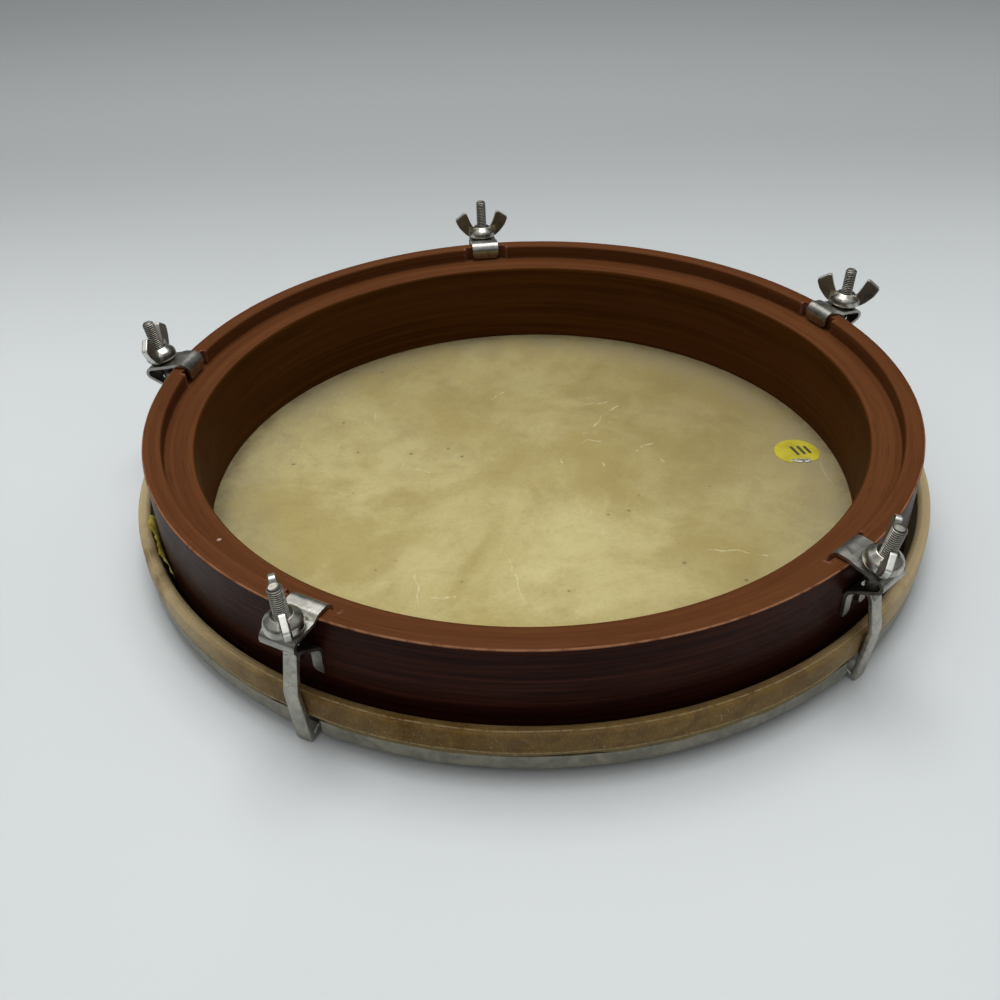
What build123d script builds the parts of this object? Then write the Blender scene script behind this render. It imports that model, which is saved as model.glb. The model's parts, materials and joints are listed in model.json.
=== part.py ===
"""Tunable frame drum, lying on its playing face with the open back up.

A thick wooden shell carries a natural skin, which is lapped round a flesh hoop. A metal counter hoop
bears on the flesh hoop, and five claws hook under it. Each claw's threaded rod passes up through a
sheet metal bracket that straddles the shell's lip, and a wing nut on top pulls it tight.

Millimetres, +Z up out of the open back. The drum's axis is Z, and it stands on its claws' feet at z = 0.
"""

from build123d import *
from math import cos, radians, sin
import os

# Heights above the table
FACE_Z = 2.2
SHELL_TOP_Z = 47.4

# Wooden shell
SHELL_R = 150.0
SHELL_INNER_R = 131.9
LIP_INNER_R = 143.1
LEDGE_DROP = 6.3
LEDGE_FALL = 0.7
BEARING_EDGE_RADIUS = 3.0
LIP_EDGE_RADIUS = 0.8
LEDGE_EDGE_RADIUS = 1.3
NOTCH_WIDTH = 20.0
NOTCH_DEPTH = 1.6

# Skin, and the flesh hoop that it is lapped round
SKIN_T = 0.7
COLLAR_R = 150.55
HIDE_OUTER_R = 157.3
HIDE_INNER_R = 152.75
HIDE_TOP_Z = 20.0
HIDE_LIP_Z = 10.3
FLESH_HOOP_INNER_R = 153.6
FLESH_HOOP_OUTER_R = 156.4
FLESH_HOOP_GAP = 0.1

# Counter hoop, pressed inwards at each claw
HOOP_R = 156.8
HOOP_T = 1.6
HOOP_LOW_Z = 4.6
HOOP_HIGH_Z = 10.0
POCKET_R = 153.9
POCKET_WIDTH = 9.5
POCKET_FLOOR_RADIUS = 1.0
POCKET_MOUTH_RADIUS = 2.2

# The five clamps: where each one stands, how far out its seat is, how far its rod leans outwards and
# rises above the seat, and where its wing nut stopped
CLAMP_AZIMUTHS = (24.0, 96.5, 168.0, 240.6, 311.6)
SEAT_RADII = (157.6, 157.3, 157.3, 157.3, 156.8)
ROD_LEANS = (4.0, 4.0, 11.0, 4.0, 11.0)
ROD_RISES = (17.0, 19.0, 17.6, 17.0, 17.0)
WING_AZIMUTHS = (-22.0, 7.0, 88.0, -72.0, -112.0)
SEAT_Z = 47.2

# Bracket, bent from one strip, its outer flange slotted into two tabs that clear the strap
BRACKET_T = 1.2
BRACKET_WIDTH = 13.0
SEAT_HALF = 5.4
NOSE_REACH = 9.2
ARCH_RADIUS = 3.2
NOSE_RADIUS = 2.2
RETURN_BEND_RADIUS = 3.2
ROD_HOLE_R = 2.75
INNER_FLANGE_Z = 42.0
OUTER_FLANGE_Z = 26.2
FLANGE_CORNER_RADIUS = 2.4
SLOT_WIDTH = 5.2
SLOT_TOP_Z = 32.8
TAB_CORNER_RADIUS = 1.9

# Claw: an M5 rod, flattened below the bracket into a strap that widens down to its hooked foot
ROD_R = 2.45
ROD_BELOW_SEAT = 12.2
ROD_TRAVEL = 2.5
ROD_TIP_CHAMFER = 0.7
STRAP_T = 2.2
STRAP_TOP_WIDTH = 5.0
STRAP_FOOT_WIDTH = 6.4
STRAP_TOP = (157.4, 34.4)
KNEE = (159.8, 22.5)
FOOT = (157.7, 1.28)
HOOK_TIP = (151.8, 3.57)

# Wing nut
NUT_BORE_R = 2.5
NUT_BASE_R = 4.9
NUT_BULGE_R = 6.4
NUT_CROWN_R = 3.4
NUT_HEIGHT = 6.3
SEAT_CLEARANCE = 0.02
WING_T = 2.6

# Trim
STICKER_R = 9.6
STICKER_T = 0.12
STICKER_AT = (116.6, 13.3)
TAPE_T = 0.35
TAPE_START = -164.0
TAPE_ARC = 13.5
TAPE_LOW_Z = 14.0
TAPE_HIGH_Z = 23.0

SKIN_INSIDE_Z = FACE_Z + SKIN_T
LEDGE_Z = SHELL_TOP_Z - LEDGE_DROP


def section_face(points, radii):
    """A closed, rounded outline of (radius, height) points, in the plane that holds the drum's axis."""
    return make_face(Plane.XZ * FilletPolyline(*points, radius=radii, close=True))


def bent_strip(points, radii, thickness):
    """The edge-on section of a strip bent along (radius, height) points."""
    return Plane.XZ * trace(FilletPolyline(*points, radius=radii), line_width=thickness)


def thickened(face, width):
    """A section in the XZ plane, made width wide about that plane."""
    return extrude(face, amount=width / 2, dir=(0, 1, 0), both=True)


def turned(shape, azimuth):
    return Rot(0, 0, azimuth) * shape


def moved_aside(points, distance):
    """A bent line moved to its left by distance, its corners kept sharp."""
    points = [Vector(*point) for point in points]
    runs = [(after - here).normalized() for here, after in zip(points, points[1:])]
    lefts = [Vector(-run.Y, run.X) for run in runs]
    pairs = zip(points, lefts[:1] + lefts, lefts + lefts[-1:])
    moved = [here + (one + two) * (distance / (1 + one.dot(two))) for here, one, two in pairs]
    return [(point.X, point.Y) for point in moved]


def make_shell():
    outline = [
        (SHELL_INNER_R, SKIN_INSIDE_Z),
        (SHELL_R, SKIN_INSIDE_Z),
        (SHELL_R, SHELL_TOP_Z),
        (LIP_INNER_R, SHELL_TOP_Z),
        (LIP_INNER_R, LEDGE_Z),
        (SHELL_INNER_R, LEDGE_Z - LEDGE_FALL),
    ]
    radii = [0.6, BEARING_EDGE_RADIUS, LIP_EDGE_RADIUS, LIP_EDGE_RADIUS, 0.5, LEDGE_EDGE_RADIUS]
    shell = revolve(section_face(outline, radii), Axis.Z)
    notch_length = 2 * NOTCH_DEPTH
    notch = Pos(LIP_INNER_R, 0, LEDGE_Z + LEDGE_DROP) * Box(notch_length, NOTCH_WIDTH, 2 * LEDGE_DROP)
    for azimuth in CLAMP_AZIMUTHS:
        shell -= turned(notch, azimuth)
    return shell


def make_skin():
    """The playing face, the collar up the shell's outside, and the lap over the flesh hoop."""
    half = SKIN_T / 2
    top = HIDE_TOP_Z - half
    outer = HIDE_OUTER_R - half
    path = [
        (0, FACE_Z + half),
        (COLLAR_R, FACE_Z + half),
        (COLLAR_R, 7.5),
        (HIDE_INNER_R, 17.0),
        (HIDE_INNER_R + 0.35, top),
        (outer, top),
        (outer, 14.0),
        (outer - 0.2, HIDE_LIP_Z),
    ]
    radii = [BEARING_EDGE_RADIUS + half, 6.0, 4.0, 1.0, 2.6, 4.0]
    return revolve(bent_strip(path, radii, SKIN_T), Axis.Z)


def make_flesh_hoop():
    low = HOOP_HIGH_Z + FLESH_HOOP_GAP
    high = HIDE_TOP_Z - SKIN_T - FLESH_HOOP_GAP
    outline = [
        (FLESH_HOOP_INNER_R, low),
        (FLESH_HOOP_OUTER_R, low),
        (FLESH_HOOP_OUTER_R, high),
        (FLESH_HOOP_INNER_R, high),
    ]
    return revolve(section_face(outline, [0.3, 0.3, 2.2, 0.5]), Axis.Z)


def across_pocket(point, azimuth):
    """How far a point lies to one side of the pocket at azimuth, or None on the drum's far side."""
    angle = radians(azimuth)
    if point.X * cos(angle) + point.Y * sin(angle) < 0:
        return None
    return abs(point.Y * cos(angle) - point.X * sin(angle))


def pocket_corners(disc, width, lowest_r, highest_r):
    """The upright edges at the sides of the pockets, between two radii."""
    found = []
    for edge in disc.edges().filter_by(Axis.Z):
        point = edge.center()
        from_axis = (point.X**2 + point.Y**2) ** 0.5
        sides = [across_pocket(point, azimuth) for azimuth in CLAMP_AZIMUTHS]
        if lowest_r < from_axis < highest_r and any(s and abs(s - width / 2) < 0.01 for s in sides):
            found.append(edge)
    return found


def pocketed_disc(inset):
    """The counter hoop's outline as a solid disc, moved inwards by inset all round."""
    radius = HOOP_R - inset
    floor_r = POCKET_R - inset
    width = POCKET_WIDTH + 2 * inset
    mouth = 2 * (radius - floor_r)
    bottom = Align.CENTER, Align.CENTER, Align.MIN
    height = HOOP_HIGH_Z - HOOP_LOW_Z
    disc = Pos(0, 0, HOOP_LOW_Z) * Cylinder(radius, height, align=bottom)
    pocket = Pos(floor_r + mouth / 2, 0, HOOP_LOW_Z) * Box(mouth, width, height, align=bottom)
    for azimuth in CLAMP_AZIMUTHS:
        disc -= turned(pocket, azimuth)
    between = (radius + floor_r) / 2
    disc = fillet(pocket_corners(disc, width, 0, between), POCKET_FLOOR_RADIUS + inset)
    return fillet(pocket_corners(disc, width, between, 2 * radius), POCKET_MOUTH_RADIUS - inset)


def make_counter_hoop():
    """A flat band on edge, stepped inwards into a rounded pocket at each claw."""
    return pocketed_disc(0) - pocketed_disc(HOOP_T)


def seat_frame(seat_r, lean):
    """The plane whose origin is the seat's centre and whose normal is the rod's axis, at azimuth 0."""
    axis = (sin(radians(lean)), 0, cos(radians(lean)))
    return Plane(origin=(seat_r, 0, SEAT_Z), x_dir=(cos(radians(lean)), 0, -sin(radians(lean))), z_dir=axis)


def along_rod(seat_r, lean, distance):
    """The (radius, height) point of the rod's axis that is distance above the seat."""
    return (seat_r + distance * sin(radians(lean)), SEAT_Z + distance * cos(radians(lean)))


def corners_at(shape, height, from_middle):
    """A bent strip's edges that run through its thickness at a height and a distance from its middle."""
    found = []
    for edge in shape.edges():
        point = edge.center()
        if abs(point.Z - height) < 0.2 and abs(abs(point.Y) - from_middle) < 0.01:
            found.append(edge)
    return found


def make_bracket(seat_r, lean):
    """Inner flange, arch over the lip, seat, hairpin nose, return plate and the two outer tabs."""
    half = BRACKET_T / 2
    middle_r, middle_z = along_rod(seat_r, lean, -half)
    out_r, out_z = cos(radians(lean)), -sin(radians(lean))
    path = [
        (143.2, INNER_FLANGE_Z),
        (142.8, 48.9),
        (149.3, 48.45),
        (middle_r - SEAT_HALF * out_r, middle_z - SEAT_HALF * out_z),
        (middle_r + NOSE_REACH * out_r, middle_z + NOSE_REACH * out_z),
        (SHELL_R + half + 0.05, 36.2),
        (SHELL_R + half + 0.05, OUTER_FLANGE_Z),
    ]
    radii = [ARCH_RADIUS, 2.5, 1.6, NOSE_RADIUS, RETURN_BEND_RADIUS]
    bracket = thickened(bent_strip(path, radii, BRACKET_T), BRACKET_WIDTH)
    reach = ROD_BELOW_SEAT + ROD_TRAVEL + 1.0
    bracket -= seat_frame(seat_r, lean) * Cylinder(ROD_HOLE_R, 2 * reach)
    slot_height = 2 * (SLOT_TOP_Z - OUTER_FLANGE_Z)
    bracket -= Pos(SHELL_R, 0, OUTER_FLANGE_Z) * Box(4 * BRACKET_T, SLOT_WIDTH, slot_height)
    bracket = fillet(corners_at(bracket, INNER_FLANGE_Z, BRACKET_WIDTH / 2), FLANGE_CORNER_RADIUS)
    return fillet(corners_at(bracket, OUTER_FLANGE_Z, SLOT_WIDTH / 2), TAB_CORNER_RADIUS)


def make_strap(seat_r, lean):
    """The flat bar below the rod: bent at its top, at the knee and sharply at the foot, and tapered."""
    path = [
        along_rod(seat_r, lean, 3.0 - ROD_BELOW_SEAT),
        STRAP_TOP,
        KNEE,
        FOOT,
        HOOK_TIP,
    ]
    outer = moved_aside(path, STRAP_T / 2)
    inner = moved_aside(path, -STRAP_T / 2)
    outer_radii = [0.1, 2.0, 6.0, 0.6, 0.3]
    inner_radii = [0.1, 1.5, 4.0, 0.2, 0.3]
    side = section_face(outer + inner[::-1], outer_radii + inner_radii[::-1])
    top_half, foot_half = STRAP_TOP_WIDTH / 2, STRAP_FOOT_WIDTH / 2
    front = Polyline((-foot_half, 0), (foot_half, 0), (top_half, SEAT_Z), (-top_half, SEAT_Z), close=True)
    front = Plane.YZ.offset(HOOK_TIP[0] - STRAP_T) * make_face(front)
    return thickened(side, 2 * STRAP_FOOT_WIDTH) & extrude(front, amount=6 * STRAP_T)


def make_claw(seat_r, lean, rise):
    """Threaded rod, its flattened strap down past the hoops, and the hook under the counter hoop."""
    rod = Cylinder(ROD_R, rise + ROD_BELOW_SEAT, align=(Align.CENTER, Align.CENTER, Align.MAX))
    rod = chamfer(rod.edges().sort_by(Axis.Z)[-1], ROD_TIP_CHAMFER)
    rod = seat_frame(seat_r, lean) * Pos(0, 0, rise) * rod
    return rod + make_strap(seat_r, lean)


def make_wing():
    """One wing, standing in the XZ plane and flaring out from the nut's base."""
    wing = Polyline((2.9, 1.4), (5.6, 1.2))
    wing += Spline((5.6, 1.2), (9.4, 4.3), (13.4, 9.9))
    wing += ThreePointArc((13.4, 9.9), (11.4, 12.6), (8.3, 13.9))
    wing += Spline((8.3, 13.9), (6.2, 8.8), (4.3, 5.4))
    wing += Line((4.3, 5.4), (2.9, 1.4))
    return thickened(make_face(Plane.XZ * wing), WING_T)


def make_wing_nut(seat_r, lean, wing_turn):
    """A domed round base with two wings, on the bracket's seat."""
    dome = Line((NUT_BORE_R, 0), (NUT_BASE_R, 0))
    dome += Line((NUT_BASE_R, 0), (NUT_BULGE_R, 1.6))
    dome += ThreePointArc((NUT_BULGE_R, 1.6), (5.7, 4.6), (NUT_CROWN_R, NUT_HEIGHT))
    dome += Line((NUT_CROWN_R, NUT_HEIGHT), (NUT_BORE_R, NUT_HEIGHT))
    dome += Line((NUT_BORE_R, NUT_HEIGHT), (NUT_BORE_R, 0))
    nut = revolve(make_face(Plane.XZ * dome), Axis.Z)
    wing = make_wing()
    nut = nut + wing + Rot(0, 0, 180) * wing
    nut -= Cylinder(NUT_BORE_R, 40)
    return seat_frame(seat_r, lean) * Pos(0, 0, SEAT_CLEARANCE) * Rot(0, 0, wing_turn) * nut


def make_sticker():
    bottom = Align.CENTER, Align.CENTER, Align.MIN
    return Pos(*STICKER_AT, SKIN_INSIDE_Z) * Cylinder(STICKER_R, STICKER_T, align=bottom)


def make_edge_tape():
    """A short strip of tape that stands against the shell's outer wall, behind the flesh hoop."""
    inner = SHELL_R + 0.05
    outline = [
        (inner, TAPE_LOW_Z),
        (inner + TAPE_T, TAPE_LOW_Z),
        (inner + TAPE_T, TAPE_HIGH_Z),
        (inner, TAPE_HIGH_Z),
    ]
    strip = revolve(make_face(Plane.XZ * Polyline(*outline, close=True)), Axis.Z, TAPE_ARC)
    return turned(strip, TAPE_START)


def write(name, shape):
    shape.label = name
    export_step(shape, os.path.join("parts", name + ".step"))


os.makedirs("parts", exist_ok=True)
write("shell", make_shell())
write("skin", make_skin())
write("flesh_hoop", make_flesh_hoop())
write("counter_hoop", make_counter_hoop())
write("sticker", make_sticker())
write("edge_tape", make_edge_tape())
clamps = zip(CLAMP_AZIMUTHS, SEAT_RADII, ROD_LEANS, ROD_RISES, WING_AZIMUTHS)
for number, (azimuth, seat_r, lean, rise, wing_azimuth) in enumerate(clamps, start=1):
    write(f"bracket_{number}", turned(make_bracket(seat_r, lean), azimuth))
    write(f"claw_{number}", turned(make_claw(seat_r, lean, rise), azimuth))
    write(f"wing_nut_{number}", turned(make_wing_nut(seat_r, lean, wing_azimuth - azimuth), azimuth))
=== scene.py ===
"""Looks of the tunable frame drum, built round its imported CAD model.

It is in the CAD's frame: the drum's axis is Z, and it stands on its claws' feet at z = 0 with
its open back up. Shapes are written in millimetres, which piece() turns into metres. Materials
place their rings, levels and strokes in millimetres too.
"""

import json
import math
from functools import cached_property

import bmesh
import bpy
import numpy as np
from mathutils import Matrix, Vector, noise


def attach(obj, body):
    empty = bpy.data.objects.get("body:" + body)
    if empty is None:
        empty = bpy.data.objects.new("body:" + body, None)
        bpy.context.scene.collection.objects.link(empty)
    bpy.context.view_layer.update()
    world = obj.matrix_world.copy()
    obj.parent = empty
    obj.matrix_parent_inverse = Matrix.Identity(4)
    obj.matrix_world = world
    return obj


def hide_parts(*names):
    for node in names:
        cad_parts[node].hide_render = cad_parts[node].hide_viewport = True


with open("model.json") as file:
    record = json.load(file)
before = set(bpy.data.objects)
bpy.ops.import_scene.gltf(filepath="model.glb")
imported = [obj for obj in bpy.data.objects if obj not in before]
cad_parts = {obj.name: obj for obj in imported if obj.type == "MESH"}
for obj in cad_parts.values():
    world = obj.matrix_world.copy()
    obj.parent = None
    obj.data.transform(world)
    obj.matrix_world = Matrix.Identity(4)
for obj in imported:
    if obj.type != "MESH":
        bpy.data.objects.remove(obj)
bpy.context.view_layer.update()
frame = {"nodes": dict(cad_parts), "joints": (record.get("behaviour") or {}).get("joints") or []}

MM = 0.001
SHARP_ANGLE = math.radians(38)

# Heights and radii in millimetres, as in the CAD model
FACE_Z = 2.2
SKIN_T = 0.7
SKIN_INSIDE_Z = FACE_Z + SKIN_T
SHELL_TOP_Z = 47.4
SHELL_R = 150.0
SHELL_INNER_R = 131.9
LIP_INNER_R = 143.1
LEDGE_Z = 41.1
NOTCH_HALF = 10.0
NOTCH_WALL_R = 144.7
LAP_OUTER_R = 157.3
LAP_TOP_Z = 20.0
HOOP_OUTER_R = 156.8
HOOP_HALF_T = 0.8
HOOP_LOW_Z = 4.6
HOOP_HIGH_Z = 10.0
POCKET_R = 153.9
POCKET_HALF = 4.75
SEAT_Z = 47.2
STICKER_PLACE = (116.6, 13.3)

# A claw's strap leaves its rod this far along it from the seat, then bends at (radius, height)
STRAP_START = -9.2
STRAP_BENDS = [(157.4, 34.4), (159.8, 22.5), (157.7, 1.28), (151.8, 3.57)]
STRAP_HALF_T = 1.1
STRAP_HALF_W = 2.5
ROD_R = 2.45
THREAD_PITCH = 0.8
THREAD_DEPTH = 0.48

# For each clamp, how far its rod stands above the seat and where a wing of its nut points
ROD_RISES = (17.0, 19.0, 17.6, 17.0, 17.0)
WING_AZIMUTHS = (-22.0, 7.0, 88.0, -72.0, -112.0)

# Distances round the lapped band are measured at this radius
LAP_R = 157.0


def clamp_of(number):
    """A clamp's azimuth, seat radius and rod lean, read from its wing nut's joint."""
    joints = {joint["name"]: joint for joint in frame["joints"]}
    joint = joints[f"wing_nut_{number}_turn"]
    place, axis = Vector(joint["pos_m"]), Vector(joint["axis"])
    outwards = Vector((place.x, place.y, 0)).normalized()
    azimuth = math.degrees(math.atan2(place.y, place.x)) % 360
    return azimuth, place.xy.length / MM, math.degrees(math.asin(axis.dot(outwards)))


CLAMPS = [clamp_of(number) for number in range(1, 6)]
CLAMP_AZIMUTHS = np.array([clamp[0] for clamp in CLAMPS])


# ---------------- shapes


def wobble(angle, seed, lowest, highest):
    """A seamless random wave about 1 high, with lowest to highest waves per turn."""
    rng = np.random.default_rng(seed)
    total = np.zeros_like(angle)
    power = 0.0
    for count in range(lowest, highest + 1):
        size = rng.uniform(0.4, 1.0) / math.sqrt(count / lowest)
        total += size * np.cos(count * angle + rng.uniform(0, 2 * math.pi))
        power += size * size / 2
    return total / math.sqrt(power)


def bump_at(distance, middle, width):
    """1 at middle, falling smoothly to 0 at width either side of it."""
    t = np.clip(1 - np.abs(distance - middle) / width, 0, 1)
    return t * t * (3 - 2 * t)


def step_up(value, low, high):
    """0 up to low and 1 from high, and smooth between."""
    t = np.clip((value - low) / (high - low), 0, 1)
    return t * t * (3 - 2 * t)


def from_clamp(angle):
    """Degrees from the nearest clamp, for angles in radians."""
    away = (np.degrees(angle)[:, None] - CLAMP_AZIMUTHS + 180) % 360 - 180
    nearest = np.argmin(np.abs(away), axis=1)
    return away[np.arange(len(angle)), nearest]


def rounded(points, radii, closed=False, arc_step=15.0):
    """A line with its corners turned into arcs. An open line's ends have no radius."""
    points = [np.array(p, float) for p in points]
    count = len(points)
    path = [] if closed else [points[0]]
    corners = range(count) if closed else range(1, count - 1)
    for corner, radius in zip(corners, radii):
        here = points[corner]
        back = points[corner - 1] - here
        ahead = points[(corner + 1) % count] - here
        back /= np.linalg.norm(back)
        ahead /= np.linalg.norm(ahead)
        half = math.acos(max(-1.0, min(1.0, float(back @ ahead)))) / 2
        bisector = (back + ahead) / np.linalg.norm(back + ahead)
        centre = here + bisector * radius / math.sin(half)
        start = here + back * radius / math.tan(half) - centre
        turn = math.pi - 2 * half
        side = math.copysign(1.0, start[0] * bisector[1] - start[1] * bisector[0])
        steps = max(2, math.ceil(math.degrees(turn) / arc_step))
        for k in range(steps + 1):
            angle = -side * turn * k / steps
            cos, sin = math.cos(angle), math.sin(angle)
            spun = np.array([start[0] * cos - start[1] * sin, start[0] * sin + start[1] * cos])
            path.append(centre + spun)
    if not closed:
        path.append(points[-1])
    return np.array(path)


def divided(path, longest, closed=False):
    """The same line with its long runs cut into pieces no longer than longest."""
    ends = np.vstack([path, path[:1]]) if closed else path
    out = []
    for start, end in zip(ends[:-1], ends[1:]):
        pieces = max(1, math.ceil(np.linalg.norm(end - start) / longest))
        out += [start + (end - start) * k / pieces for k in range(pieces)]
    if not closed:
        out.append(ends[-1])
    return np.array(out)


def divided_together(one, other, longest):
    """Two lines of as many points, with each pair of runs cut into as many short pieces."""
    cut_one, cut_other = [], []
    for k in range(len(one) - 1):
        run, beside = one[k + 1] - one[k], other[k + 1] - other[k]
        pieces = max(1, math.ceil(max(np.linalg.norm(run), np.linalg.norm(beside)) / longest))
        cut_one += [one[k] + run * i / pieces for i in range(pieces)]
        cut_other += [other[k] + beside * i / pieces for i in range(pieces)]
    return np.array(cut_one + [one[-1]]), np.array(cut_other + [other[-1]])


def moved_aside(points, distance):
    """A bent line moved to its left by distance, its corners kept sharp."""
    points = np.array(points, float)
    runs = np.diff(points, axis=0)
    runs /= np.linalg.norm(runs, axis=1)[:, None]
    left = np.stack([-runs[:, 1], runs[:, 0]], axis=1)
    one, two = np.vstack([left[:1], left]), np.vstack([left, left[-1:]])
    return points + (one + two) * distance / (1 + (one * two).sum(axis=1))[:, None]


def normals_of(path, closed=False):
    """Unit normals on the left of a line in the plane."""
    if closed:
        run = np.roll(path, -1, axis=0) - np.roll(path, 1, axis=0)
    else:
        run = np.gradient(path, axis=0)
    run /= np.linalg.norm(run, axis=1)[:, None]
    return np.stack([-run[:, 1], run[:, 0]], axis=1)


def lattice(rows, closed=False):
    """(vertices, faces) of rings of points. The last joins the first, or else both are capped."""
    grid = np.array(rows)
    count, columns = grid.shape[:2]
    vertices = list(grid.reshape(-1, 3))
    faces = []
    for i in range(count if closed else count - 1):
        below = (i + 1) % count
        for j in range(columns):
            beside = (j + 1) % columns
            corners = (i, j), (below, j), (below, beside), (i, beside)
            faces.append(tuple(row * columns + column for row, column in corners))
    if not closed:
        for row in (0, count - 1):
            centre = len(vertices)
            vertices.append(grid[row].mean(axis=0))
            for j in range(columns):
                faces.append((row * columns + j, row * columns + (j + 1) % columns, centre))
    return vertices, faces


def mark_points(mesh, name, values):
    """Stores a value at each of a mesh's points, for its material."""
    mesh.attributes.new(name, "FLOAT", "POINT").data.foreach_set("value", values)


def new_mesh(name, vertices, faces, groove=None):
    """A mesh in millimetres. groove is a value for each vertex but the caps' own."""
    mesh = bpy.data.meshes.new(name)
    mesh.from_pydata([tuple(map(float, v)) for v in vertices], [], faces)
    if groove is not None:
        caps = np.zeros(len(vertices) - len(groove))
        mark_points(mesh, "groove", np.concatenate([groove, caps]))
    finish_mesh(mesh)
    return mesh


def finish_mesh(mesh):
    """Joins doubled points, turns the faces outwards and smooths all but the sharp edges."""
    shape = bmesh.new()
    shape.from_mesh(mesh)
    bmesh.ops.remove_doubles(shape, verts=shape.verts, dist=1e-5)
    bmesh.ops.recalc_face_normals(shape, faces=shape.faces)
    for face in shape.faces:
        face.smooth = True
    for edge in shape.edges:
        if len(edge.link_faces) == 2:
            edge.smooth = edge.calc_face_angle(0) < SHARP_ANGLE
    shape.to_mesh(mesh)
    shape.free()


def added(name, mesh):
    made = bpy.data.objects.new(name, mesh)
    bpy.context.scene.collection.objects.link(made)
    return made


def piece(name, mesh, place, material, body, node):
    """Puts a millimetre mesh into the scene, on a CAD body and in place of a CAD node."""
    mesh.transform(Matrix.Scale(MM, 4) @ place)
    mesh.materials.append(material)
    made = added(name, mesh)
    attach(made, body)
    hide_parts(node)


def spun_to(azimuth):
    return Matrix.Rotation(math.radians(azimuth), 4, "Z")


def swept_round(profile, angles):
    """Radii and heights, as [angle, point] grids, of a profile swept round the Z axis."""
    radius = np.tile(profile[:, 0], (len(angles), 1))
    height = np.tile(profile[:, 1], (len(angles), 1))
    return radius, height


def to_points(radius, height, angles):
    cos, sin = np.cos(angles)[:, None], np.sin(angles)[:, None]
    return np.stack([radius * cos, radius * sin, height], axis=2)


# ---------------- the shell


def shell_angles():
    """Even steps, with pairs of close ones where the notches' side walls stand."""
    even = list(np.radians(np.arange(0, 360, 0.6)))
    wall = math.asin(NOTCH_HALF / LIP_INNER_R)
    extra = []
    for azimuth in CLAMP_AZIMUTHS:
        for side in (-1, 1):
            middle = math.radians(azimuth) + side * wall
            extra += [middle - side * 2e-4, middle + side * 2e-4]
    return np.array(sorted(even + [a % (2 * math.pi) for a in extra]))


def shell_mesh():
    outline = [
        (SHELL_INNER_R, SKIN_INSIDE_Z),
        (SHELL_R, SKIN_INSIDE_Z),
        (SHELL_R, SHELL_TOP_Z),
        (LIP_INNER_R, SHELL_TOP_Z),
        (LIP_INNER_R, LEDGE_Z),
        (SHELL_INNER_R, LEDGE_Z - 0.7),
    ]
    profile = rounded(outline, [0.6, 3.0, 0.8, 0.8, 0.5, 1.3], closed=True)
    profile = divided(profile, 1.6, closed=True)
    angles = shell_angles()
    radius, height = swept_round(profile, angles)

    # The lip's inner wall is cut back beside each bracket
    away = np.radians(from_clamp(angles))
    in_notch = np.abs(np.sin(away)) * LIP_INNER_R < NOTCH_HALF
    wall = np.where(in_notch, NOTCH_WALL_R / np.cos(away), 0)[:, None]
    on_lip = (radius > LIP_INNER_R - 0.6) & (radius < NOTCH_WALL_R + 1.0)
    on_lip &= height > LEDGE_Z + 0.02
    radius = np.where(on_lip, np.maximum(radius, wall), radius)

    # Bent wood is never quite true: the rim dips a little, and its edges are worn
    worn = wobble(angles, 3, 5, 60)[:, None]
    top = step_up(height, LEDGE_Z - 2, LEDGE_Z)
    height += top * 0.04 * wobble(angles, 4, 2, 14)[:, None]
    edge = bump_at(np.hypot(radius - SHELL_R, height - SHELL_TOP_Z), 0, 1.4)
    edge += bump_at(np.hypot(radius - LIP_INNER_R, height - SHELL_TOP_Z), 0, 1.4)
    edge += bump_at(np.hypot(radius - SHELL_INNER_R, height - LEDGE_Z), 0, 1.8)
    height -= 0.02 * edge * np.clip(worn, 0, 2)
    return new_mesh("shell", *lattice(to_points(radius, height, angles), closed=True))


# ---------------- the skin


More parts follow.
